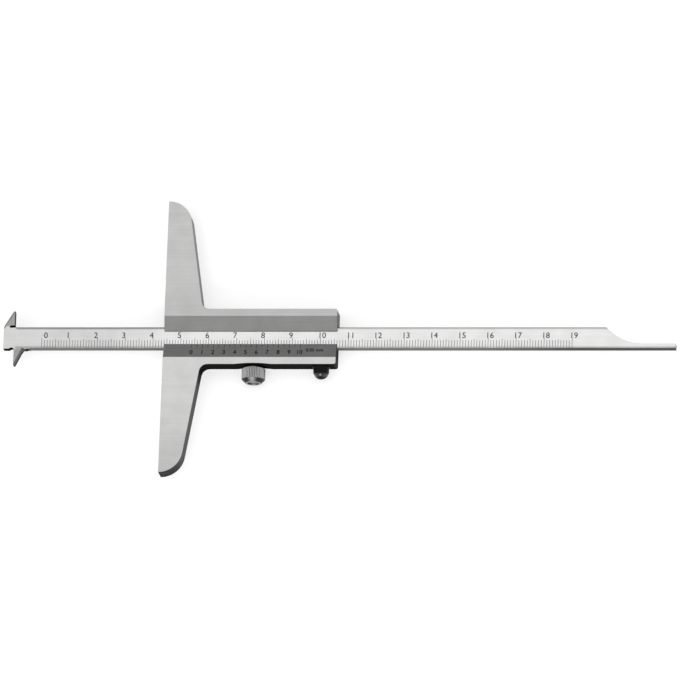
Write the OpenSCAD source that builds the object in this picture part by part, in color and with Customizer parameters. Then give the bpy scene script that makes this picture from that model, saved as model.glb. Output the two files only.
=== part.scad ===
// Vernier depth gauge with a double hook, lying on its back.
// X runs along the beam, Y along the bridge and Z up through the thickness. X is zero on the
// measuring face of the bridge, Y on the middle line of the beam and Z on the back of the bridge.

/* [Bridge] */
// Length of the bridge from wing tip to wing tip
bridge_l = 100; // [80:1:150]
// Thickness of the bridge and of the slider body
body_t = 7; // [6.4:0.1:9]
// Width of a wing where it leaves the slider body
wing_root_w = 13.6; // [12:0.1:18]
// Radius of the rounded tip of a wing
wing_tip_r = 8.5; // [6:0.1:10]
// Radius of the fillet between a wing and the slider body
wing_fillet_r = 3; // [1:0.5:6]

/* [Slider body] */
// Length of the slider body along the beam
slider_l = 62; // [58:1:80]
// Width of the slider body
slider_w = 20.4; // [19:0.1:26]
// Width of the flat land along each long front edge
land_w = 2.6; // [1:0.1:4]
// Width of the window over the scale
window_w = 4.7; // [3:0.1:6]
// Thickness of the bevelled lip at the edge of the window
lip_t = 0.3; // [0.2:0.05:0.6]
// Length of the closed collar round the beam at each end of the slider
collar_l = 3; // [2:0.5:5]
// Radius of the two corners at the end of the slider body
end_corner_r = 0.8; // [0.2:0.1:2]
// Length of the shallow hollow in the side of the slider, round the clamp screw
hollow_l = 13; // [10:0.5:16]
// Depth of that hollow
hollow_d = 0.4; // [0.1:0.1:0.8]

/* [Beam] */
// Longest depth that the scale measures
range_l = 150; // [120:10:300]
// Depth that the gauge shows at rest
reading = 54; // [8:0.05:110]
// Width of the beam
beam_w = 8; // [7:0.1:9]
// Thickness of the beam
beam_t = 3; // [2.6:0.1:3.2]
// Width of the chamfer along the edges of the beam
edge_break = 0.45; // [0.1:0.05:0.5]
// Width of the narrow nose at the far end of the beam
nose_w = 2; // [1.5:0.1:4]
// Length of the straight part of the nose
nose_l = 12; // [6:1:20]
// Radius of the hollow that leads down to the nose
nose_cut_r = 17; // [10:1:25]

/* [Hooks] */
// Height of each spike above the edge of the beam
spike_h = 6; // [4:0.1:7]
// Length of the beam beyond the plane of the hook faces
heel_l = 3.8; // [3:0.1:6]
// Width of the blunt tip of a spike
tip_w = 0.6; // [0.2:0.05:0.8]
// Height of the shoulder at the end of the beam, beside the upper spike
shoulder_h = 0.6; // [0.3:0.1:1.5]
// Width of the lower spike where it meets the beam
lower_root_w = 3.5; // [2:0.05:4]
// Radius of the fillet between the lower spike and the beam
spike_fillet_r = 3; // [1:0.5:4]
// Width of the relief slot in the corner under the upper hook face
slot_w = 0.9; // [0.6:0.1:1.4]
// Depth of that slot
slot_l = 1.7; // [1:0.1:2.2]
// How far that slot cuts down into the edge of the beam
slot_drop = 0.3; // [0.1:0.05:0.4]
// Radius of the relief notch beside the lower hook face
notch_r = 0.9; // [0.5:0.1:1.2]
// Width of the bevel along the slanted side of a spike
spike_bevel = 0.8; // [0.3:0.1:1.2]

/* [Gib] */
// Thickness of the gib that bears on the lower edge of the beam
gib_t = 1; // [0.8:0.1:1.4]
// Room behind the gib for its springs
spring_room = 0.7; // [0.6:0.1:1]
// Thickness of a leaf spring
spring_t = 0.2; // [0.1:0.05:0.3]
// Width of a leaf spring
spring_w = 2.4; // [1.6:0.1:2.6]

/* [Rear cover] */
// Thickness of the rear cover
cover_t = 2; // [1.6:0.1:2.2]
// Width of the rim left on each side of the cover
cover_rim = 1; // [0.6:0.1:1.4]
// Radius of the corners of the cover
cover_corner_r = 1; // [0.5:0.1:2]
// Distance from the end of the cover to its first screw
cover_screw_inset = 9; // [5:0.5:12]
// Thread diameter of a cover screw
cover_screw_d = 1.6; // [1.2:0.1:1.8]
// Head diameter of a cover screw
cover_head_d = 2.9; // [2.4:0.1:3]
// Depth of the thread of a cover screw in the slider body
cover_screw_bite = 2.2; // [1.5:0.1:2.5]

/* [Clamp screw] */
// Distance from the measuring face to the clamp screw
clamp_x = 32.3; // [29:0.1:36]
// Thread diameter of the clamp screw
clamp_thread_d = 2.5; // [2:0.1:2.5]
// Diameter of the knurled knob
knob_d = 8.4; // [7:0.1:10]
// Length of the knob
knob_l = 5.5; // [4:0.1:8]
// Gap between the slider body and the knob when tight
neck_l = 0.7; // [0.5:0.1:2]
// Diameter of the neck at the back of the knob
neck_d = 4.4; // [3:0.1:6]
// Chamfer round the outer end of the knob
knob_chamfer = 1.4; // [0.3:0.1:1.8]
// Diameter of the dished middle of the knob
dish_d = 4.2; // [2:0.1:5]
// Depth of the dish
dish_h = 0.4; // [0.1:0.1:1]
// Number of knurl teeth round the knob
knurl_teeth = 40; // [24:2:60]
// Depth of the knurl
knurl_h = 0.25; // [0.1:0.05:0.4]
// Length of the brass pad at the tip of the clamp screw
pad_l = 1.6; // [1:0.1:2.5]

/* [Gib screw] */
// Distance from the end of the slider body to the gib screw
gib_screw_inset = 5.5; // [4.5:0.1:6]
// Diameter of the domed head
dome_d = 5.7; // [5:0.1:7]
// Length of the straight part of the head, between flange and dome
dome_skirt_l = 1.2; // [0.5:0.1:2]
// Diameter of the flange under the head
flange_d = 6.2; // [6:0.1:8]
// Thickness of the flange
flange_t = 0.6; // [0.4:0.1:1.2]
// Thread diameter of the gib screw
gib_screw_d = 2; // [1.6:0.1:2.4]
// Diameter of the pin that locates the gib
gib_pin_d = 1.2; // [0.8:0.1:1.4]
// Width of the driver slot across the dome
driver_slot_w = 0.8; // [0.4:0.1:1.2]

/* [Clearances] */
// Running gap between the beam and what guides it, on each side
slide_gap = 0.05; // [0.02:0.01:0.08]
// Radial gap between a thread and its bore
thread_gap = 0.04; // [0.02:0.01:0.08]
// Gap between two pieces that seat on each other
seat_gap = 0.02; // [0.01:0.01:0.05]

/* [Hidden] */
$fn = 96;
// How far a cut runs past the surface that it opens
over = 1;
// Share of the room beside the clamp screw that a leaf spring fills
spring_share = 0.85;
// Share of a head's own thickness that its driver slot takes
driver_depth_share = 0.45;
// Share of the gib's thickness that the locating pin reaches into
pin_share = 0.6;
// Share of a cover screw's head diameter that its countersink is deep
countersink_share = 0.3;
// How far the straight side of a wing dips into the circle of its tip, so that the two cross
tip_dip = 0.005;

// Levels through the thickness
beam_z = cover_t + slide_gap;
mid_z = beam_z + beam_t / 2;
beam_top_z = beam_z + beam_t;
roof_z = beam_top_z + slide_gap;
lip_z = roof_z + lip_t;

// Places across the slider, from the middle line of the beam
side_y = slider_w / 2;
land_y = side_y - land_w;
guide_y = beam_w / 2 + slide_gap;
gib_back_y = guide_y + gib_t;
pocket_y = gib_back_y + spring_room;
cover_y = side_y - cover_rim;
cover_screw_y = (pocket_y + cover_y) / 2;

// Places along the beam
pocket_x0 = collar_l;
pocket_x1 = slider_l - collar_l;
gib_screw_x = slider_l - gib_screw_inset;
cover_screw_xs = [pocket_x0 + cover_screw_inset, pocket_x1 - cover_screw_inset];
hook_x = -reading;
corner_x = hook_x + range_l + slider_l;
nose_drop = beam_w - nose_w;
nose_run = sqrt(pow(nose_cut_r, 2) - pow(nose_cut_r - nose_drop, 2));
nose_x = corner_x + nose_run;
tip_x = nose_x + nose_l;
spike_y = beam_w / 2 + spike_h;

// Tangent from the root of a wing to the circle of its tip
tip_c = [0, bridge_l / 2 - wing_tip_r];
root = [wing_root_w, side_y];
tangent_r = wing_tip_r - tip_dip;
tangent_a = atan2(root[1] - tip_c[1], root[0]) + acos(tangent_r / norm(root - tip_c));
tangent = tip_c + tangent_r * [cos(tangent_a), sin(tangent_a)];

// Radius of the circle through a hollow or a bow, from its chord and its depth
function bow_r(chord, rise) = (pow(chord / 2, 2) + pow(rise, 2)) / (2 * rise);

// Extrudes an outline in (Y, Z) along X, from x0 to x1.
module along_x(x0, x1) {
    translate([x0, 0, 0]) rotate([90, 0, 90]) linear_extrude(x1 - x0) children();
}

// Stands what is drawn upwards on a point of the lower side, pointing away from the slider.
module outward(x, y) {
    translate([x, -y, mid_z]) rotate([90, 0, 0]) children();
}

// Fills the corner at p between directions a0 and a1 degrees, up to a fillet of radius r.
module corner_fill(p, a0, a1, r) {
    reach = r / tan((a1 - a0) / 2);
    middle = (a0 + a1) / 2;
    c = p + norm([reach, r]) * [cos(middle), sin(middle)];
    difference() {
        polygon([p, p + reach * [cos(a0), sin(a0)], c, p + reach * [cos(a1), sin(a1)]]);
        translate(c) circle(r);
    }
}

module upper_wing_outline() {
    polygon([[0, 0], [root[0], 0], root, tangent, tip_c]);
    translate(tip_c) intersection() {
        circle(wing_tip_r);
        translate([0, -over]) square(wing_tip_r + 2 * over);
    }
    corner_fill(root, 0, 90 + tangent_a, wing_fillet_r);
}

module bridge_outline() {
    translate([0, -side_y]) square([slider_l - end_corner_r, slider_w]);
    translate([0, end_corner_r - side_y]) square([slider_l, slider_w - 2 * end_corner_r]);
    for (side = [-1, 1])
        translate([slider_l - end_corner_r, side * (side_y - end_corner_r)]) circle(end_corner_r);
    upper_wing_outline();
    mirror([0, 1]) upper_wing_outline();
}

// The valley between the lands, down its two bevels and through the window.
module window_profile() {
    half = window_w / 2;
    polygon([[-land_y, body_t + over], [-land_y, body_t], [-half, lip_z], [-half, mid_z],
        [half, mid_z], [half, lip_z], [land_y, body_t], [land_y, body_t + over]]);
}

module beam_channel() {
    along_x(-over, slider_l + over)
        translate([-guide_y, cover_t]) square([2 * guide_y, roof_z - cover_t]);
    translate([pocket_x0, -pocket_y, cover_t])
        cube([pocket_x1 - pocket_x0, pocket_y, roof_z - cover_t]);
}

module cover_outline(gap) {
    r = cover_corner_r - gap;
    x0 = pocket_x0 + gap;
    x1 = pocket_x1 - gap;
    y = cover_y - gap;
    translate([x0, r - y]) square([x1 - x0, 2 * (y - r)]);
    translate([x0 + r, -y]) square([x1 - x0 - 2 * r, 2 * y]);
    for (x = [x0 + r, x1 - r], side = [-1, 1])
        translate([x, side * (y - r)]) circle(r);
}

module at_cover_screws() {
    for (x = cover_screw_xs, side = [-1, 1]) translate([x, side * cover_screw_y, 0]) children();
}

// A shallow round hollow in the lower side, cut no lower than its two ends.
module side_hollow() {
    r = bow_r(hollow_l, hollow_d);
    translate([clamp_x, -side_y, -over]) linear_extrude(body_t + 2 * over) intersection() {
        translate([0, hollow_d - r]) circle(r);
        translate([-hollow_l, -over]) square([2 * hollow_l, hollow_d + 2 * over]);
    }
}

module bridge() {
    color("silver") difference() {
        linear_extrude(body_t) bridge_outline();
        along_x(-over, slider_l + over) window_profile();
        beam_channel();
        translate([0, 0, -over]) linear_extrude(cover_t + over) cover_outline(0);
        side_hollow();
        outward(clamp_x, guide_y)
            cylinder(d = clamp_thread_d + 2 * thread_gap, h = side_y - guide_y + over);
        outward(gib_screw_x, guide_y)
            cylinder(d = gib_screw_d + 2 * thread_gap, h = side_y - guide_y + over);
        at_cover_screws()
            cylinder(d = cover_screw_d + 2 * seat_gap, h = cover_t + cover_screw_bite + seat_gap);
    }
}

// The outline of the beam, seen from the front, with the hook faces on x = 0.
module beam_outline() {
    half = beam_w / 2;
    end_x = corner_x - hook_x;
    lower_a = atan2(-spike_h, tip_w - lower_root_w);
    difference() {
        union() {
            translate([-heel_l, -half]) square([heel_l + end_x, beam_w]);
            translate([end_x, -half]) square([nose_x - hook_x - end_x, beam_w]);
            translate([end_x, -half]) square([tip_x - hook_x - end_x, nose_w]);
            polygon([[0, 0], [0, spike_y], [-tip_w, spike_y], [-heel_l, half + shoulder_h],
                [-heel_l, 0]]);
            polygon([[0, 0], [0, -spike_y], [tip_w, -spike_y], [lower_root_w, -half],
                [lower_root_w, 0]]);
            corner_fill([lower_root_w, -half], lower_a, 0, spike_fillet_r);
        }
        translate([nose_x - hook_x, nose_cut_r + nose_w - half]) circle(nose_cut_r);
        translate([0, half - slot_drop + slot_w / 2]) {
            circle(slot_w / 2);
            translate([slot_w / 2 - slot_l, -slot_w / 2]) square([slot_l - slot_w / 2, slot_w]);
            translate([slot_w / 2 - slot_l, 0]) circle(slot_w / 2);
        }
        translate([-notch_r, -half - notch_r / 2]) circle(notch_r);
    }
}

// Cuts a bevel of width w off the front and the back, on the left of the line from a to b. It
// starts run_in before the line and ends run_out after it.
module edge_bevel(a, b, w, run_in = 0, run_out = 0) {
    d = b - a;
    reach = w + over;
    for (back = [0, 1])
        translate([a[0], a[1], mid_z]) mirror([0, 0, back])
            rotate([0, 0, atan2(d[1], d[0])]) along_x(-run_in, norm(d) + run_out)
                translate([0, beam_t / 2 - w]) polygon([[-over, -over], [reach, reach], [-over, reach]]);
}

module beam() {
    half = beam_w / 2;
    lower_a = atan2(-spike_h, tip_w - lower_root_w);
    blend_x = hook_x + lower_root_w + spike_fillet_r / tan(-lower_a / 2);
    color("gainsboro") difference() {
        translate([hook_x, 0, beam_z]) linear_extrude(beam_t) beam_outline();
        edge_bevel([corner_x, half], [hook_x + slot_w, half], edge_break, over);
        edge_bevel([blend_x + edge_break, -half], [tip_x + over, -half], edge_break);
        edge_bevel([hook_x - tip_w, spike_y], [hook_x - heel_l, half + shoulder_h], spike_bevel,
            over, over);
        edge_bevel([hook_x + tip_w, -spike_y], [hook_x + lower_root_w, -half], spike_bevel, over);
    }
}

module rear_cover() {
    head_h = countersink_share * cover_head_d;
    color("silver") difference() {
        linear_extrude(cover_t - seat_gap) cover_outline(seat_gap);
        at_cover_screws() {
            translate([0, 0, -over]) cylinder(d = cover_screw_d + 2 * thread_gap, h = cover_t + 2 * over);
            cylinder(d1 = cover_head_d + 2 * seat_gap, d2 = cover_screw_d + 2 * thread_gap, h = head_h);
        }
    }
}

module cover_screws() {
    head_h = countersink_share * cover_head_d;
    slot_d = driver_depth_share * head_h;
    color("dimgray") at_cover_screws() difference() {
        union() {
            cylinder(d1 = cover_head_d, d2 = cover_screw_d, h = head_h);
            cylinder(d = cover_screw_d, h = cover_t + cover_screw_bite);
        }
        translate([-cover_head_d, -slot_d / 2, -over]) cube([2 * cover_head_d, slot_d, slot_d + over]);
    }
}

module gib() {
    x0 = pocket_x0 + seat_gap;
    color("goldenrod") difference() {
        translate([x0, -gib_back_y, cover_t + seat_gap])
            cube([pocket_x1 - seat_gap - x0, gib_t, roof_z - cover_t - 2 * seat_gap]);
        outward(gib_screw_x, guide_y - over)
            cylinder(d = gib_pin_d + 2 * thread_gap, h = gib_t + 2 * over);
    }
}

// One bowed leaf from x0 to x1, with its crown against the gib and its ends against the pocket.
module leaf_spring(x0, x1) {
    chord = spring_share * (x1 - x0);
    inner_r = bow_r(chord, spring_room - spring_t - 2 * seat_gap);
    half_a = asin(chord / 2 / inner_r);
    translate([(x0 + x1) / 2, -gib_back_y - seat_gap - inner_r - spring_t, mid_z - spring_w / 2])
        rotate([0, 0, 90 - half_a]) rotate_extrude(angle = 2 * half_a, $fn = 720)
            translate([inner_r, 0]) square([spring_t, spring_w]);
}

module gib_springs() {
    bore_r = clamp_thread_d / 2 + thread_gap;
    color("tan") {
        leaf_spring(pocket_x0, clamp_x - bore_r);
        leaf_spring(clamp_x + bore_r, gib_screw_x - gib_screw_d / 2 - thread_gap);
    }
}

module clamp_pad() {
    color("goldenrod") outward(clamp_x, gib_back_y + seat_gap) cylinder(d = clamp_thread_d, h = pad_l);
}

// Everything on the knob that is turned, from the outer end of the pad to the dished end. Round
// the knurl it stays clear of the teeth, and cuts only their ends.
module clamp_screw_profile() {
    base = side_y - gib_back_y - pad_l - 2 * seat_gap;
    back = base + neck_l;
    end = back + knob_l;
    r = knob_d / 2;
    polygon([[0, 0], [clamp_thread_d / 2, 0], [clamp_thread_d / 2, back - neck_l / 2],
        [neck_d / 2, back], [r - 2 * knurl_h, back], [r + knurl_h, back + 3 * knurl_h],
        [r + knurl_h, end - knob_chamfer - knurl_h], [r - knob_chamfer, end], [dish_d / 2, end],
        [dish_d / 2 - dish_h, end - dish_h], [0, end - dish_h]]);
}

// The prism of knurl teeth that the turned knob is cut from.
module knurl_outline() {
    step = 180 / knurl_teeth;
    polygon([for (i = [0 : 2 * knurl_teeth - 1])
        (knob_d / 2 - (i % 2) * knurl_h) * [cos(i * step), sin(i * step)]]);
}

module clamp_screw() {
    start_y = gib_back_y + pad_l + 2 * seat_gap;
    color("gray") outward(clamp_x, start_y) intersection() {
        rotate_extrude() clamp_screw_profile();
        linear_extrude(side_y - start_y + neck_l + knob_l) knurl_outline();
    }
}

module gib_screw() {
    pin_l = pin_share * gib_t;
    start_y = gib_back_y - pin_l;
    head = side_y + seat_gap - start_y;
    skirt_end = head + flange_t + dome_skirt_l;
    crown = skirt_end + dome_d / 2;
    slot_d = driver_depth_share * dome_d / 2;
    color([0.06, 0.06, 0.06]) outward(gib_screw_x, start_y) difference() {
        union() {
            cylinder(d = gib_pin_d, h = head);
            translate([0, 0, pin_l + seat_gap]) cylinder(d = gib_screw_d, h = head - pin_l - seat_gap);
            translate([0, 0, head]) cylinder(d = flange_d, h = flange_t);
            translate([0, 0, head + flange_t]) cylinder(d = dome_d, h = dome_skirt_l);
            translate([0, 0, skirt_end]) rotate_extrude() intersection() {
                circle(d = dome_d);
                square(dome_d / 2);
            }
        }
        translate([-dome_d, -driver_slot_w / 2, crown - slot_d])
            cube([2 * dome_d, driver_slot_w, slot_d + over]);
    }
}

bridge();
beam();
rear_cover();
cover_screws();
gib();
gib_springs();
clamp_pad();
clamp_screw();
gib_screw();
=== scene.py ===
# Finishes, scale marks, stage, light and camera for a vernier depth gauge with a double hook.
from math import radians

import bmesh
import bpy
from mathutils import Matrix, Vector


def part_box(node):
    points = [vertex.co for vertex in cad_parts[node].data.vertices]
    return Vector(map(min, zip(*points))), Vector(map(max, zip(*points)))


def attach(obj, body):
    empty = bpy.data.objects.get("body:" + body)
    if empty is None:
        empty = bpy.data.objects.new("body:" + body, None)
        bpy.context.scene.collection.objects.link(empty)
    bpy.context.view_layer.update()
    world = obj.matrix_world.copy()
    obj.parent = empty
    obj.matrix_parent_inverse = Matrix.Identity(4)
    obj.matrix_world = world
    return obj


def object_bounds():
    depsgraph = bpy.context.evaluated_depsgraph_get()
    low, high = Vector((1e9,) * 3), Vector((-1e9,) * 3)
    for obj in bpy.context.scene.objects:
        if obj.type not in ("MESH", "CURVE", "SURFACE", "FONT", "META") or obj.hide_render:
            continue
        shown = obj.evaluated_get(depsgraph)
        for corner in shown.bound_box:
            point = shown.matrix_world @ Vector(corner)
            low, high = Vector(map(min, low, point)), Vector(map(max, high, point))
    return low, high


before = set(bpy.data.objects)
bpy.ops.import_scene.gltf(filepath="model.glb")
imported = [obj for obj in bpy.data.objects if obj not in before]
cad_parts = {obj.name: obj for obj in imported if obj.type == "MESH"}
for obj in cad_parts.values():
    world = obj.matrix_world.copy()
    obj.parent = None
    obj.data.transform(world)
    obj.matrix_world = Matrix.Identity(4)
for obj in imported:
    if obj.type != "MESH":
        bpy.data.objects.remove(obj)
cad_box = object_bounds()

# Sizes and places are written in millimetres, and Blender takes metres.
MM = 0.001
TO_MM = (1 / MM,) * 3

# The photograph's line of sight: how far the camera leans and turns from straight overhead. The
# whole gauge spans the picture, whose side is in pixels, from the heel of the hook to the nose.
IMAGE_PX = 680
PX_PER_MM = 2.82
LOOK_AT = Vector((63.3, -1.35, 7.0))
LEAN = radians(15.85)
TURN = radians(7.8)
CAMERA_DISTANCE = 6000.0
SENSOR_MM = 36.0

# The light. Levels are strengths, where 1 shows a white thing as white. The large panel spans
# angles from straight overhead, to the front and back of the beam, and along it. The window stands
# at an angle from overhead, beyond the front and a little to one side.
PANEL_LEVEL = 1.08
PANEL_FRONT = (radians(-21), radians(0))
PANEL_BACK = (radians(26), radians(42))
PANEL_SIDE = (radians(48), radians(70))
FRONT_LEVEL = 0.6
BACK_LEVEL = 0.55
HORIZON = (radians(10), radians(26))
WINDOW_LEVEL = 0.9
WINDOW_SIZE = radians(26)
WINDOW_LEAN = radians(62)
WINDOW_SWING = radians(-8)

# The floor, just under the lowest point of the gauge.
FLOOR_HALF = 20000.0
FLOOR_GAP = 0.02
FLOOR_GREY = 0.7
FLOOR_LIFT = 0.5

# Corners of the pieces' boxes. X is zero on the measuring face of the bridge.
BRIDGE_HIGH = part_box("bridge")[1] / MM
BEAM_LOW, BEAM_HIGH = [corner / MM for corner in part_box("beam")]
KNOB_LOW, KNOB_HIGH = [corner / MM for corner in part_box("clamp_screw")]

# Places on the bridge: its slider body with the lower bevel, from the lip by the window to the
# land, and the wings, from root to tip.
SLIDER_L = BRIDGE_HIGH.x
SLIDER_SIDE = 10.2
LIP_Y = -2.35
LIP_Z = 5.4
LAND_Y = -7.6
LAND_Z = BRIDGE_HIGH.z
WING_ROOT = 20.0
WING_TIP = BRIDGE_HIGH.y

# Places on the beam, whose heel reaches past the hook faces.
HEEL = 3.8
HOOK_X = BEAM_LOW.x + HEEL
BEAM_HALF = 4.0
BEAM_TOP = BEAM_HIGH.z
BEAM_CHAMFER = 0.45

# The knurled knob.
KNOB_MIDDLE = (KNOB_LOW + KNOB_HIGH) / 2
KNOB_R = (KNOB_HIGH.x - KNOB_LOW.x) / 2
KNURL_DEPTH = 0.25

# Edges are rounded here, because the CAD leaves them sharp: how far on each piece, how sharp an
# edge has to be, how nearly in line two facets lie that count as one flat, and the gap within
# which two points are one.
BRIDGE_EDGE = 0.06
BEAM_EDGE = 0.06
COVER_EDGE = 0.05
KNOB_EDGE = 0.02
GIB_SCREW_EDGE = 0.04
EDGE_SEGMENTS = 2
EDGE_ANGLE = radians(30)
FLAT_ANGLE = radians(0.5)
WELD_GAP = 0.001

# Filled lines and numerals stand a hair above their surface, with their foot just below it.
LINE_W = 0.15
MARK_H = 0.015
MARK_SUNK = 0.01

# Numerals, in the font's own units: half their thickness, the steps of a curve, and the gap within
# which two points are one.
FONT_HALF_DEPTH = 0.5
FONT_STEPS = 4
FONT_WELD = 0.0001

# The scale on the beam. It starts as far from the hook faces as the vernier does from the
# measuring face.
SCALE_START = 10.0
SCALE_LENGTH = 190
CM = 10
HALF_CM = 5
MM_LINE = 2.7
HALF_CM_LINE = 3.1
CM_LINE = 3.5
NUMERAL_H = 2.1
NUMERAL_Y = -0.1
NUMERAL_WEIGHT = 0.008

# How far the middle of a number stands aside from its line: the zero, one digit, and two.
ZERO_ASIDE = 1.4
DIGIT_ASIDE = -0.6
PAIR_ASIDE = 0.8

# The vernier: 20 divisions on 39 mm, with a number at every second line, and its value.
VERNIER_DIVISIONS = 20
VERNIER_LENGTH = 39.0
VERNIER_EVERY = 2
VERNIER_GAP = 0.05
VERNIER_LINE = 1.3
VERNIER_LONG_LINE = 1.8
VERNIER_NUMERAL_H = 1.75
VERNIER_NUMERAL_GAP = 2.55
VERNIER_WEIGHT = 0.03
VALUE = "0.05 mm"
VALUE_X = 54.2
VALUE_H = 1.35

# Greys of the bridge, from 0 for black to 1 for white. They are painted light and shade: the flats
# lighter below the beam's middle line and darker above it, the bevels by the window darker, and
# the sides darker still, the lower ones nearly black.
LOWER_TIP = 0.53
LOWER_FLAT = 0.63
UPPER_LAND = 0.51
UPPER_WING = 0.55
LOWER_BEVEL = 0.22
UPPER_BEVEL = 0.34
MEASURING_FACE = 0.5
UPPER_SIDE = 0.36
LOWER_SIDE = 0.015
LOWER_WING_SIDE = 0.15
LOWER_TIP_SIDE = 0.06
LOWER_END = 0.06

# Where those greys change: on both sides of the beam's middle line, near the root of the lower
# wing, and at the end of the slider body.
MIDDLE = 1.0
ROOT_ROOM = 2.0
END_DEPTH = 1.0
END_SPAN = 3.0

# Greys of the beam. Near is towards the clamp screw, and far is away from it. The far edge has
# a grey to the left of the slider body, and another to the right. Painted light and shade: the
# flats darker towards the hook and lighter from the slider body on, and the sides dark, black
# round the hook.
BEAM_LEFT = 0.64
BEAM_RIGHT = 0.78
SPIKES = 0.34
BEAM_FAR_SIDE = 0.34
BEAM_FAR_EDGE = (0.06, 0.22)
BEAM_NEAR_SIDE = 0.2
NOSE_NEAR_SIDE = 0.1
HOOK_SIDE = 0.08
HOOK_NEAR_SIDE = 0.01
UPPER_SPIKE_BEVEL = 0.3
LOWER_SPIKE_BEVEL = 0.14

# The rims of its top: where they are, and the share of the grey that they keep. The far one has
# a share to the left of the slider body, and another to the right. The rims are painted shade, a
# darker strip along each edge of the top.
FAR_RIM_Y = (2.9, 3.35)
NEAR_RIM_Y = (-3.45, -2.8)
RIM_FADE = 1.0
FAR_RIM_SHARE = (0.55, 0.75)
NEAR_RIM_SHARE = 0.62

# Where its greys change: along the beam, and round the hook and its spikes.
BEAM_SHADE_X = (-25.0, 8.0)
NOSE_X = (110.0, 150.0)
HOOK_ROOM = 4.6
HOOK_FADE = 1.6
SPIKE_FADE = 0.7
SPIKE_BEVEL_FADE = 0.2

# How far a surface leans, as one part of its normal: where a tone starts, and where it is full.
# They are for a bevel by the window, a lower side, the round tip of the lower wing, the measuring
# face, a side met squarely, the chamfer of the beam and the bevel of a spike.
BEVEL_LEAN = (0.1, 0.25)
LOWER_LEAN = (-0.1, 0.2)
TIP_LEAN = (0.2, 0.9)
FACE_LEAN = (-0.9, -0.6)
SQUARE_LEAN = (0.3, 0.7)
CHAMFER_LEAN = (0.3, 0.6)
SPIKE_LEAN = (0.4, 0.6)

# Upward parts of the normal between which a flat turns into a side.
BRIDGE_TILT = (0.9, 0.95)
BEAM_TILT = (0.72, 0.9)
COVER_TILT = (0.62, 0.86)

# Greys of the rear cover: its flats, and its sides painted darker as painted shade.
COVER_FLAT = 0.52
COVER_SIDE = 0.2

# Greys of the knob, and how far its surface leans where its crown, chamfer and corners are. The
# valleys of the knurl, the chamfer and the corners of the chamfer are painted darker, as painted
# shade.
KNURL_GREYS = (0.46, 0.62)
KNURL_VALLEY = 0.2
KNOB_CHAMFER = 0.2
KNOB_CORNER = 0.04
KNOB_END_GREYS = (0.22, 0.3)
CROWN_LEAN = (0.85, 0.95)
KNOB_CHAMFER_LEAN = (0.35, 0.5)
CORNER_LEAN = (0.1, 0.4)

# Layers of detail that a noise has.
SMOOTH = 1.0
PLAIN = 2.0
FINE = 3.0
FINEST = 4.0

# The grain of ground steel, in cells to the metre: long along the beam, with broader bands and a
# cloudy sheen.
GRAIN_CELLS = (150.0, 9000.0, 9000.0)
BAND_CELLS = (25.0, 1500.0, 1500.0)
CLOUD_CELLS = (170.0,) * 3
BAND_SHARE = 0.35
MOTTLE_SPAN = (0.25, 0.75)
MOTTLE = 0.14
STEEL_WARMTH = 0.006
GRAIN_ROUGH = 0.08
CLOUD_ROUGH = 0.06
BAND_RELIEF = 0.5
STEEL_RELIEF = 0.004

# Faint scratches from handling, in two directions. Noise above the span is a scratch.
SCRATCH_TURN = radians(24)
SCRATCH_CELLS = (90.0, 4200.0, 4200.0)
SCRATCH_SPAN = (0.7, 0.76)
CROSS_TURN = radians(-37)
CROSS_CELLS = (70.0, 3600.0, 3600.0)
CROSS_SPAN = (0.72, 0.78)
SCRATCH_DARK = 0.06
SCRATCH_ROUGH = 0.08
SCRATCH_RELIEF = 0.5

# Turned steel. The tool's rings are counted in radians to the millimetre.
TURNED_CELLS = (7000.0,) * 3
TURNED_SPAN = (0.3, 0.7)
TOOL_RINGS = 42.0
TURNED_ROUGH = 0.1
CHAMFER_ROUGH = 0.14
TURNED_RELIEF = 0.3
RING_RELIEF = 0.5
KNOB_RELIEF = 0.006

# The other metals: turned screws, drawn brass and tempered strip.
METAL_CLOUD_CELLS = (300.0,) * 3
METAL_SPAN = (0.6, 1.4)
METAL_GRAIN_ROUGH = 0.1
METAL_CLOUD_ROUGH = 0.08
METAL_RELIEF = 0.005
SCREW_GREYS = (0.3, 0.42)
BRASS_DARK = (0.6, 0.42, 0.16, 1.0)
BRASS_LIGHT = (0.78, 0.58, 0.28, 1.0)
BRASS_CELLS = (150.0, 6000.0, 6000.0)
SPRING_GREYS = (0.34, 0.46)
SPRING_WARMTH = 0.03
SPRING_CELLS = (300.0, 8000.0, 8000.0)

# Black lacquer on the domed screw: waves of the dipped coat, dust, and a rubbed ring.
WAVE_CELLS = (900.0,) * 3
DUST_CELLS = (6000.0,) * 3
DUST_SPAN = (0.62, 0.78)
LACQUER_GREYS = (0.004, 0.014)
RUB_INSIDE = (0.7, 0.85)
RUB_OUTSIDE = (0.3, 0.5)
WAVE_ROUGH = 0.1
DUST_ROUGH = 0.06
DUST_RELIEF = 0.1
LACQUER_RELIEF = 0.01
LACQUER_SPECULAR = 0.1
COAT_ROUGH = 0.14
COAT_IOR = 1.6

# The filling of the marks.
WEAR_CELLS = (5000.0,) * 3
WEAR_SPAN = (0.45, 0.8)
FILLING_GREYS = (0.006, 0.04)
WEAR_ROUGH = 0.2
FILLING_RELIEF = 0.004
FILLING_SPECULAR = 0.15

# Middle roughness of each finish.
BRIDGE_ROUGH = 0.36
BEAM_ROUGH = 0.3
COVER_ROUGH = 0.34
KNOB_ROUGH = 0.31
SCREW_ROUGH = 0.28
BRASS_ROUGH = 0.32
SPRING_ROUGH = 0.3
LACQUER_ROUGH = 0.28
FILLING_ROUGH = 0.6


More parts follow.
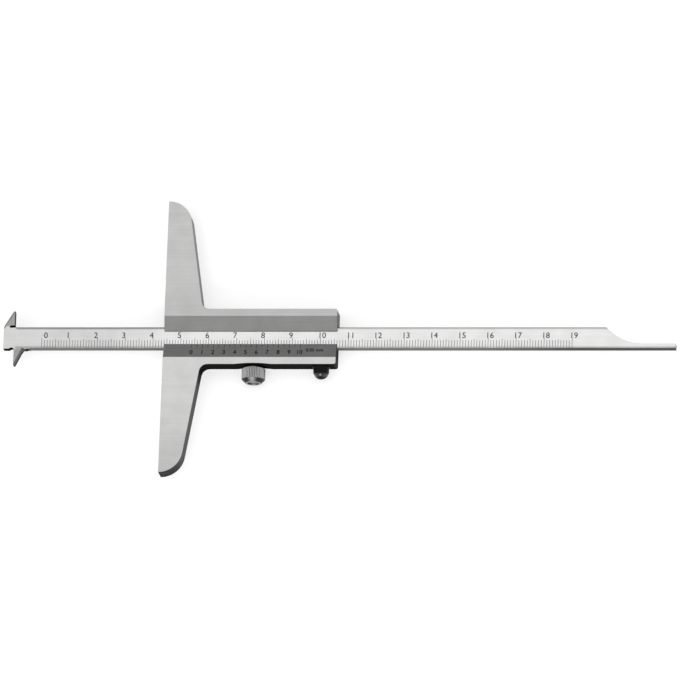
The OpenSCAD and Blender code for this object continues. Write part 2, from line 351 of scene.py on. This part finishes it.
class Wire:
    """A socket of a node tree. Arithmetic on it adds Math nodes, and add() any other node."""

    # Sockets of a Mix node for its two colours, and the one that gives the mixed colour.
    FIRST_COLOUR = 6
    SECOND_COLOUR = 7
    MIXED_COLOUR = 2

    def __init__(self, tree, socket=None):
        self.tree = tree
        self.socket = socket

    def add(self, kind, settings=(), inputs=(), output=0):
        """Adds a node. Its settings are set first, then each socket gets its value or its wire."""
        made = self.tree.nodes.new(kind)
        for name, value in dict(settings).items():
            setattr(made, name, value)
        for key, value in dict(inputs).items():
            if isinstance(value, Wire):
                self.tree.links.new(value.socket, made.inputs[key])
            else:
                made.inputs[key].default_value = value
        return Wire(self.tree, made.outputs[output] if made.outputs else None)

    def outputs(self, *names):
        """Wires from the named outputs of this wire's node."""
        return [Wire(self.tree, self.socket.node.outputs[name]) for name in names]

    def math(self, operation, *others):
        """A Math node on this value and the others."""
        return self.add("ShaderNodeMath", {"operation": operation}, enumerate((self, *others)))

    def __add__(self, other):
        return self.math("ADD", other)

    def __sub__(self, other):
        return self.math("SUBTRACT", other)

    def __rsub__(self, other):
        return self.add("ShaderNodeMath", {"operation": "SUBTRACT"}, {0: other, 1: self})

    def __mul__(self, other):
        return self.math("MULTIPLY", other)

    def __neg__(self):
        return self.math("MULTIPLY", -1.0)

    def __abs__(self):
        return self.math("ABSOLUTE")

    __radd__ = __add__
    __rmul__ = __mul__

    def split(self, *axes):
        """The parts of a vector along the axes."""
        return self.add("ShaderNodeSeparateXYZ", inputs={0: self}).outputs(*axes)

    def scaled(self, by):
        """A vector multiplied part by part."""
        return self.add("ShaderNodeVectorMath", {"operation": "MULTIPLY"}, {0: self, 1: by})

    def turned(self, angle):
        """A vector turned about Z."""
        return self.add("ShaderNodeMapping", inputs={"Vector": self, "Rotation": (0.0, 0.0, angle)})

    def noise(self, cells, detail=PLAIN):
        """Noise on a vector, with cells to the metre along X, Y and Z."""
        sockets = {"Vector": self.scaled(cells), "Scale": 1.0, "Detail": detail}
        return self.add("ShaderNodeTexNoise", inputs=sockets)

    def step(self, low, high, start=0.0, end=1.0):
        """A smooth step from start to end, as the value goes from low to high."""
        sockets = {"Value": self, "From Min": low, "From Max": high, "To Min": start, "To Max": end}
        return self.add("ShaderNodeMapRange", {"interpolation_type": "SMOOTHSTEP"}, sockets)

    def swing(self, width):
        """A swing of that width about zero, as the value goes from 0 to 1."""
        return self * width - width / 2

    def blend(self, first, second):
        """A number between two others, by this value."""
        return first + (second - first) * self

    def mix(self, first, second):
        """A colour between two others, by this value."""
        sockets = {0: self, self.FIRST_COLOUR: first, self.SECOND_COLOUR: second}
        return self.add("ShaderNodeMix", {"data_type": "RGBA"}, sockets, self.MIXED_COLOUR)


def grey(level, warmth=0.0):
    """An opaque grey, a little warmer or cooler."""
    return (level * (1 + warmth), level, level * (1 - warmth), 1.0)


def new_material(name):
    """A material with no nodes, and the wire that adds to it."""
    material = bpy.data.materials.new(name)
    material.use_nodes = True
    material.node_tree.nodes.clear()
    return material, Wire(material.node_tree)


def place_on(tree):
    """The place of a point on its piece, in metres."""
    return tree.add("ShaderNodeTexCoord", output="Object")


def facing_on(tree):
    """The way that the surface faces on its piece."""
    return tree.add("ShaderNodeTexCoord", output="Normal")


def close(tree, sockets, relief, depth_mm):
    """Ends a material in one principled surface, with a relief of that depth."""
    bump = tree.add("ShaderNodeBump", inputs={"Height": relief, "Distance": depth_mm * MM})
    shader = tree.add("ShaderNodeBsdfPrincipled", inputs={**sockets, "Normal": bump})
    tree.add("ShaderNodeOutputMaterial", inputs={"Surface": shader})


def ground_steel(name, rough, tones, tilt):
    """Satin plated steel, ground along the beam, with faint scratches from handling.

    tones takes a place in millimetres and the way the surface faces. It gives the grey of the
    flats and of the sides, and how matte the sides are; these greys are painted light and shade,
    with the sides painted darker. A face turns into a side as the Z of its normal falls through
    the two values of tilt.
    """
    material, tree = new_material(name)
    place = place_on(tree)
    facing = facing_on(tree)
    grain = place.noise(GRAIN_CELLS, FINE)
    bands = place.noise(BAND_CELLS)
    cloud = place.noise(CLOUD_CELLS, FINEST)
    scratches = place.turned(SCRATCH_TURN).noise(SCRATCH_CELLS, SMOOTH).step(*SCRATCH_SPAN)
    crossing = place.turned(CROSS_TURN).noise(CROSS_CELLS, SMOOTH).step(*CROSS_SPAN)
    worn = scratches.math("MAXIMUM", crossing)
    flat, side, matte = tones(place.scaled(TO_MM), facing)
    # Faces that turn into sides take their painted shade here.
    upright = abs(facing.split("Z")[0]).step(*tilt, 1.0, 0.0)
    mottle = (bands * BAND_SHARE + cloud * (1 - BAND_SHARE)).step(*MOTTLE_SPAN).swing(MOTTLE)
    level = upright.blend(flat, side) * (mottle + 1.0 - worn * SCRATCH_DARK)
    uneven = grain.swing(GRAIN_ROUGH) + cloud.swing(CLOUD_ROUGH) + worn * SCRATCH_ROUGH
    sockets = {
        "Base Color": level.mix(grey(0.0), grey(1.0, STEEL_WARMTH)),
        "Metallic": 1.0 - upright * matte,
        "Roughness": uneven + rough,
        "Specular IOR Level": 0.0,
    }
    close(tree, sockets, grain + bands * BAND_RELIEF - worn * SCRATCH_RELIEF, STEEL_RELIEF)
    return material


def bridge_tones(place, facing):
    """Bright flats and measuring face, and painted light and shade: flats lighter below the middle
    line and darker above it, darker bevels by the window, and nearly black lower sides.
    """
    x, y = place.split("X", "Y")
    to_x, to_y = facing.split("X", "Y")
    # Painted light and shade: the flats' greys change across the bridge, the bevels are darker, and
    # the sides darker still, nearly black below the beam.
    lower = y.step(-WING_TIP, -WING_ROOT, LOWER_TIP, LOWER_FLAT)
    upper = y.step(SLIDER_SIDE, WING_ROOT, UPPER_LAND, UPPER_WING)
    above = y.step(-MIDDLE, MIDDLE)
    bevel = abs(to_y).step(*BEVEL_LEAN)
    flat = bevel.blend(above.blend(lower, upper), above.blend(LOWER_BEVEL, UPPER_BEVEL))
    wing = (-to_y).step(*TIP_LEAN, LOWER_WING_SIDE, LOWER_TIP_SIDE)
    below = y.step(-WING_ROOT, -SLIDER_SIDE - ROOT_ROOM, wing, LOWER_SIDE)
    around = (-to_y).step(*LOWER_LEAN).blend(UPPER_SIDE, below)
    at_end = x.step(SLIDER_L - END_DEPTH, SLIDER_L) * y.step(-END_SPAN, END_SPAN, 1.0, 0.0)
    measuring = to_x.step(*FACE_LEAN, 1.0, 0.0)
    side = measuring.blend(at_end.blend(around, LOWER_END), MEASURING_FACE)
    matte = (-to_x).math("MAXIMUM", to_y).step(*SQUARE_LEAN, 1.0, 0.0)
    return flat, side, matte


def beam_tones(place, facing):
    """Bright flats, darker on the spikes, with painted shade towards the hook and along the rims of
    the top. The sides are painted shade: dark, and black round the hook.
    """
    x, y = place.split("X", "Y")
    to_y, to_z = facing.split("Y", "Z")
    hook_end = HOOK_X + HOOK_ROOM
    # Painted shade: darker flats towards the hook, darker rims along the top, and dark sides, black
    # round the hook.
    hooks = x.step(hook_end, hook_end + HOOK_FADE, 1.0, 0.0)
    right = x.step(0.0, SLIDER_L)
    rimmed = x.step(HOOK_X, HOOK_X + RIM_FADE)
    far_rim = (y.step(*FAR_RIM_Y) * rimmed).blend(1.0, right.blend(*FAR_RIM_SHARE))
    near_rim = (y.step(*NEAR_RIM_Y, 1.0, 0.0) * rimmed).blend(1.0, NEAR_RIM_SHARE)
    strip = x.step(*BEAM_SHADE_X, BEAM_LEFT, BEAM_RIGHT) * far_rim * near_rim
    flat = abs(y).step(BEAM_HALF, BEAM_HALF + SPIKE_FADE).blend(strip, SPIKES)
    near = (-to_y).step(*SQUARE_LEAN)
    far_side = abs(to_z).step(*CHAMFER_LEAN, BEAM_FAR_SIDE, right.blend(*BEAM_FAR_EDGE))
    near_side = x.step(*NOSE_X, BEAM_NEAR_SIDE, NOSE_NEAR_SIDE)
    on_spikes = abs(y).step(BEAM_HALF, BEAM_HALF + SPIKE_BEVEL_FADE)
    spike_bevel = y.step(-MIDDLE, MIDDLE, LOWER_SPIKE_BEVEL, UPPER_SPIKE_BEVEL)
    slanted = abs(to_z).step(*SPIKE_LEAN) * on_spikes
    hook_side = slanted.blend(near.blend(HOOK_SIDE, HOOK_NEAR_SIDE), spike_bevel)
    side = hooks.blend(near.blend(far_side, near_side), hook_side)
    return flat, side, to_y.step(*SQUARE_LEAN, 1.0, 0.0)


def cover_tones(place, facing):
    """An even grey on the flats, and a darker grey on the sides as painted shade."""
    return COVER_FLAT, COVER_SIDE, 0.0


def knob_steel():
    """Turned steel, ringed by the tool on its dished end, with painted shade in the valleys of the
    knurl, on the chamfer and darkest at its corners.
    """
    material, tree = new_material("knob_steel")
    place = place_on(tree)
    x, z = place.scaled(TO_MM).split("X", "Z")
    to_x, to_y = [abs(part) for part in facing_on(tree).split("X", "Y")]
    across = x - KNOB_MIDDLE.x
    up = z - KNOB_MIDDLE.z
    radius = (across * across + up * up).math("SQRT")
    rings = (radius * TOOL_RINGS).math("SINE")
    grain = place.noise(TURNED_CELLS, FINE).step(*TURNED_SPAN)
    # Painted shade in the valleys of the knurl, on the chamfer and at its corners.
    valley = radius.step(KNOB_R - KNURL_DEPTH, KNOB_R, 1.0, 0.0)
    crown = to_y.step(*CROWN_LEAN)
    chamfer = to_y.step(*KNOB_CHAMFER_LEAN) * (1.0 - crown)
    corner = chamfer * to_x.step(*CORNER_LEAN)
    crest = grain.mix(*map(grey, KNURL_GREYS))
    end = grain.mix(*map(grey, KNOB_END_GREYS))
    knurl = valley.mix(crest, grey(KNURL_VALLEY))
    around = chamfer.mix(knurl, grey(KNOB_CHAMFER))
    sockets = {
        "Base Color": corner.mix(crown.mix(around, end), grey(KNOB_CORNER)),
        "Metallic": 1.0,
        "Roughness": grain.swing(TURNED_ROUGH) + chamfer * CHAMFER_ROUGH + KNOB_ROUGH,
    }
    close(tree, sockets, grain * TURNED_RELIEF + rings * crown * RING_RELIEF, KNOB_RELIEF)
    return material


def plain_metal(name, dark, light, rough, cells):
    """A metal of two tones, whose grain has so many cells to the metre along X, Y and Z."""
    material, tree = new_material(name)
    place = place_on(tree)
    grain = place.noise(cells, FINE)
    cloud = place.noise(METAL_CLOUD_CELLS)
    sockets = {
        "Base Color": (grain + cloud).step(*METAL_SPAN).mix(dark, light),
        "Metallic": 1.0,
        "Roughness": grain.swing(METAL_GRAIN_ROUGH) + cloud.swing(METAL_CLOUD_ROUGH) + rough,
    }
    close(tree, sockets, grain, METAL_RELIEF)
    return material


def gib_brass():
    """Drawn brass for the gib and the pad."""
    return plain_metal("gib_brass", BRASS_DARK, BRASS_LIGHT, BRASS_ROUGH, BRASS_CELLS)


def screw_steel():
    """Turned steel for the screws of the cover."""
    dark, light = map(grey, SCREW_GREYS)
    return plain_metal("screw_steel", dark, light, SCREW_ROUGH, TURNED_CELLS)


def spring_steel():
    """Tempered strip for the leaf springs."""
    dark, light = [grey(level, SPRING_WARMTH) for level in SPRING_GREYS]
    return plain_metal("spring_steel", dark, light, SPRING_ROUGH, SPRING_CELLS)


def black_lacquer():
    """Glossy black, with the faint waves of a dipped coat, rubbed brighter round the crown."""
    material, tree = new_material("black_screw")
    place = place_on(tree)
    waves = place.noise(WAVE_CELLS)
    dust = place.noise(DUST_CELLS, FINEST)
    outward = -facing_on(tree).split("Y")[0]
    sockets = {
        "Base Color": dust.step(*DUST_SPAN).mix(*map(grey, LACQUER_GREYS)),
        "Metallic": 0.0,
        "Roughness": waves.swing(WAVE_ROUGH) + dust.swing(DUST_ROUGH) + LACQUER_ROUGH,
        "Specular IOR Level": LACQUER_SPECULAR,
        "Coat Weight": outward.step(*RUB_OUTSIDE) * outward.step(*RUB_INSIDE, 1.0, 0.0),
        "Coat Roughness": COAT_ROUGH,
        "Coat IOR": COAT_IOR,
    }
    close(tree, sockets, waves + dust * DUST_RELIEF, LACQUER_RELIEF)
    return material


def mark_filling():
    """The dark filling of engraved lines and numerals, thinner in places."""
    material, tree = new_material("mark_filling")
    worn = place_on(tree).noise(WEAR_CELLS, FINE)
    sockets = {
        "Base Color": worn.step(*WEAR_SPAN).mix(*map(grey, FILLING_GREYS)),
        "Roughness": worn.swing(WEAR_ROUGH) + FILLING_ROUGH,
        "Specular IOR Level": FILLING_SPECULAR,
    }
    close(tree, sockets, worn, FILLING_RELIEF)
    return material


def new_piece(name, mesh, material, body):
    """A finished mesh as an object of the scene that moves with a body."""
    made = bpy.data.objects.new(name, bpy.data.meshes.new(name))
    mesh.to_mesh(made.data)
    mesh.free()
    made.data.materials.append(material)
    bpy.context.scene.collection.objects.link(made)
    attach(made, body)


def add_line(mesh, plane, x, low, high):
    """A straight filled line on a plane, in millimetres, from low to high across it."""
    size = Vector((LINE_W, high - low, MARK_H + MARK_SUNK)) * MM
    middle = Vector((x, (low + high) / 2, (MARK_H - MARK_SUNK) / 2)) * MM
    placed = plane @ Matrix.Translation(middle) @ Matrix.Diagonal((*size, 1.0))
    bmesh.ops.create_cube(mesh, size=1.0, matrix=placed)


def font_mesh(words):
    """Words in Blender's own font, as a mesh in the font's units."""
    curve = bpy.data.curves.new(words, "FONT")
    curve.body = words
    curve.extrude = FONT_HALF_DEPTH
    curve.resolution_u = FONT_STEPS
    holder = bpy.data.objects.new(words, curve)
    bpy.context.scene.collection.objects.link(holder)
    bpy.context.view_layer.update()
    shown = holder.evaluated_get(bpy.context.evaluated_depsgraph_get())
    shape = bpy.data.meshes.new_from_object(shown)
    bpy.data.objects.remove(holder)
    bpy.data.curves.remove(curve)
    letters = bmesh.new()
    letters.from_mesh(shape)
    bpy.data.meshes.remove(shape)
    bmesh.ops.remove_doubles(letters, verts=letters.verts, dist=FONT_WELD)
    return letters


def add_numeral(mesh, plane, words, x, y, height, weight):
    """Numerals of a height on a plane, in millimetres, with their middle at x and y.

    Their strokes grow outwards by the weight, in the font's units.
    """
    letters = font_mesh(words)
    outward = [Vector((*point.normal.xy, 0.0)).normalized() for point in letters.verts]
    for point, way in zip(letters.verts, outward):
        point.co += way * weight
    corners = [point.co for point in letters.verts]
    low = Vector(map(min, *corners))
    high = Vector(map(max, *corners))
    scale = height * MM / (high.y - low.y)
    thick = (MARK_H + MARK_SUNK) * MM / (2 * FONT_HALF_DEPTH)
    to_middle = Matrix.Translation(-(low + high) / 2)
    sized = Matrix.Diagonal((scale, scale, thick, 1.0))
    lifted = Matrix.Translation(Vector((x, y, (MARK_H - MARK_SUNK) / 2)) * MM)
    letters.transform(plane @ lifted @ sized @ to_middle)
    placed = bpy.data.meshes.new(words)
    letters.to_mesh(placed)
    letters.free()
    mesh.from_mesh(placed)
    bpy.data.meshes.remove(placed)


def beam_scale(material):
    """Millimetre lines up from the lower edge of the beam, and a number at each centimetre."""
    plane = Matrix.Translation(Vector((HOOK_X + SCALE_START, 0.0, BEAM_TOP)) * MM)
    lines = bmesh.new()
    numerals = bmesh.new()
    foot = BEAM_CHAMFER - BEAM_HALF
    for mark in range(SCALE_LENGTH + 1):
        length = CM_LINE if mark % CM == 0 else HALF_CM_LINE if mark % HALF_CM == 0 else MM_LINE
        add_line(lines, plane, mark, foot, foot + length)
    for number in range(SCALE_LENGTH // CM + 1):
        words = str(number)
        aside = ZERO_ASIDE if number == 0 else DIGIT_ASIDE if len(words) == 1 else PAIR_ASIDE
        x = number * CM + aside
        y = NUMERAL_Y + NUMERAL_H / 2
        add_numeral(numerals, plane, words, x, y, NUMERAL_H, NUMERAL_WEIGHT)
    new_piece("beam_scale_lines", lines, material, "beam")
    new_piece("beam_scale_numerals", numerals, material, "beam")


def vernier_scale(material):
    """Vernier lines down from the lip of the lower bevel, and a number under every second one."""
    fall = Vector((0.0, LIP_Y - LAND_Y, LIP_Z - LAND_Z)).normalized()
    across = Vector((1.0, 0.0, 0.0))
    plane = Matrix((across, fall, across.cross(fall))).transposed().to_4x4()
    plane.translation = Vector((SCALE_START, LIP_Y, LIP_Z)) * MM
    lines = bmesh.new()
    numerals = bmesh.new()
    for mark in range(VERNIER_DIVISIONS + 1):
        numbered = mark % VERNIER_EVERY == 0
        x = mark * VERNIER_LENGTH / VERNIER_DIVISIONS
        length = VERNIER_LONG_LINE if numbered else VERNIER_LINE
        add_line(lines, plane, x, -length, -VERNIER_GAP)
        if numbered:
            words = str(mark // VERNIER_EVERY)
            y = -VERNIER_NUMERAL_GAP - VERNIER_NUMERAL_H / 2
            add_numeral(numerals, plane, words, x, y, VERNIER_NUMERAL_H, VERNIER_WEIGHT)
    x = VALUE_X - SCALE_START
    add_numeral(numerals, plane, VALUE, x, -VERNIER_NUMERAL_GAP, VALUE_H, VERNIER_WEIGHT)
    new_piece("vernier_lines", lines, material, "bridge")
    new_piece("vernier_numerals", numerals, material, "bridge")


def dress(node, material, edge=0.0):
    """Gives a CAD piece its finish, joins its facets, and rounds its edges where one is given."""
    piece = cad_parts[node]
    piece.data.materials.clear()
    piece.data.materials.append(material)
    weld = piece.modifiers.new("weld", "WELD")
    weld.merge_threshold = WELD_GAP * MM
    if edge:
        flats = piece.modifiers.new("flats", "DECIMATE")
        flats.decimate_type = "DISSOLVE"
        flats.angle_limit = FLAT_ANGLE
        bevel = piece.modifiers.new("edges", "BEVEL")
        bevel.width = edge * MM
        bevel.segments = EDGE_SEGMENTS
        bevel.limit_method = "ANGLE"
        bevel.angle_limit = EDGE_ANGLE
        bevel.use_clamp_overlap = False


def shows_white(tree):
    """One for the rays that show a white background: from the camera, a gloss or a clear piece."""
    rays = tree.add("ShaderNodeLightPath")
    seen, gloss, clear = rays.outputs("Is Camera Ray", "Is Glossy Ray", "Is Transmission Ray")
    return seen.math("MAXIMUM", gloss).math("MAXIMUM", clear)


def make_floor():
    """A pale floor that shows as white, keeps the gauge's shadow, and is clear from beneath."""
    material, tree = new_material("floor")
    paint = tree.add("ShaderNodeBsdfDiffuse", inputs={"Color": grey(FLOOR_GREY)})
    lift = {"Color": grey(1.0), "Strength": shows_white(tree) * FLOOR_LIFT}
    glow = tree.add("ShaderNodeEmission", inputs=lift)
    both = tree.add("ShaderNodeAddShader", inputs={0: paint, 1: glow})
    clear = tree.add("ShaderNodeBsdfTransparent")
    beneath = tree.add("ShaderNodeNewGeometry", output="Backfacing")
    sided = tree.add("ShaderNodeMixShader", inputs={0: beneath, 1: both, 2: clear})
    tree.add("ShaderNodeOutputMaterial", inputs={"Surface": sided})
    mesh = bmesh.new()
    under = Matrix.Translation((0.0, 0.0, cad_box[0].z - FLOOR_GAP * MM))
    bmesh.ops.create_grid(mesh, x_segments=1, y_segments=1, size=FLOOR_HALF * MM, matrix=under)
    floor = bpy.data.objects.new("floor", bpy.data.meshes.new("floor"))
    mesh.to_mesh(floor.data)
    mesh.free()
    floor.data.materials.append(material)
    bpy.context.scene.collection.objects.link(floor)


def make_light():
    """A room with one large soft panel overhead, long along the beam, and dimmer walls."""
    world = bpy.data.worlds.new("room")
    bpy.context.scene.world = world
    world.use_nodes = True
    world.node_tree.nodes.clear()
    tree = Wire(world.node_tree)
    x, y, z = tree.add("ShaderNodeTexCoord", output="Generated").split("X", "Y", "Z")
    across = y.math("ARCTAN2", z)
    along = abs(x.math("ARCTAN2", z))
    sides = along.step(*PANEL_SIDE, 1.0, 0.0)
    panel = across.step(*PANEL_FRONT) * across.step(*PANEL_BACK, 1.0, 0.0) * sides
    walls = across.step(PANEL_FRONT[0], PANEL_BACK[1], FRONT_LEVEL, BACK_LEVEL)
    room = panel.blend(walls, PANEL_LEVEL)
    level = z.math("ARCSINE").step(*HORIZON, 1.0, 0.0).blend(room, 1.0)
    glow = tree.add("ShaderNodeBackground", inputs={"Color": level, "Strength": 1.0})
    tree.add("ShaderNodeOutputWorld", inputs={"Surface": glow})


def make_window():
    """A soft window beyond the clamp screw, seen in rounded edges and in the domed screw."""
    data = bpy.data.lights.new("window", "SUN")
    data.energy = WINDOW_LEVEL
    data.angle = WINDOW_SIZE
    window = bpy.data.objects.new("window", data)
    lowered = Matrix.Rotation(WINDOW_LEAN, 4, "X")
    window.matrix_world = Matrix.Rotation(WINDOW_SWING, 4, "Z") @ lowered
    bpy.context.scene.collection.objects.link(window)


def make_camera():
    """A long lens on the photograph's line of sight."""
    data = bpy.data.cameras.new("camera")
    data.sensor_width = SENSOR_MM
    data.lens = SENSOR_MM * CAMERA_DISTANCE * PX_PER_MM / IMAGE_PX
    camera = bpy.data.objects.new("camera", data)
    turned = Matrix.Rotation(LEAN, 4, "X") @ Matrix.Rotation(TURN, 4, "Y")
    back = Matrix.Translation((0.0, 0.0, CAMERA_DISTANCE * MM))
    camera.matrix_world = Matrix.Translation(LOOK_AT * MM) @ turned @ back
    bpy.context.scene.collection.objects.link(camera)
    bpy.context.scene.camera = camera


make_camera()
make_light()
make_window()
make_floor()

filling = mark_filling()
beam_scale(filling)
vernier_scale(filling)

brass = gib_brass()
bridge_steel = ground_steel("bridge_steel", BRIDGE_ROUGH, bridge_tones, BRIDGE_TILT)
beam_steel = ground_steel("beam_steel", BEAM_ROUGH, beam_tones, BEAM_TILT)
cover_steel = ground_steel("cover_steel", COVER_ROUGH, cover_tones, COVER_TILT)
dress("bridge", bridge_steel, BRIDGE_EDGE)
dress("beam", beam_steel, BEAM_EDGE)
dress("rear_cover", cover_steel, COVER_EDGE)
dress("cover_screws", screw_steel(), COVER_EDGE)
dress("gib", brass)
dress("clamp_pad", brass)
dress("gib_springs", spring_steel())
dress("clamp_screw", knob_steel(), KNOB_EDGE)
dress("gib_screw", black_lacquer(), GIB_SCREW_EDGE)

bpy.context.scene.view_settings.view_transform = "Standard"
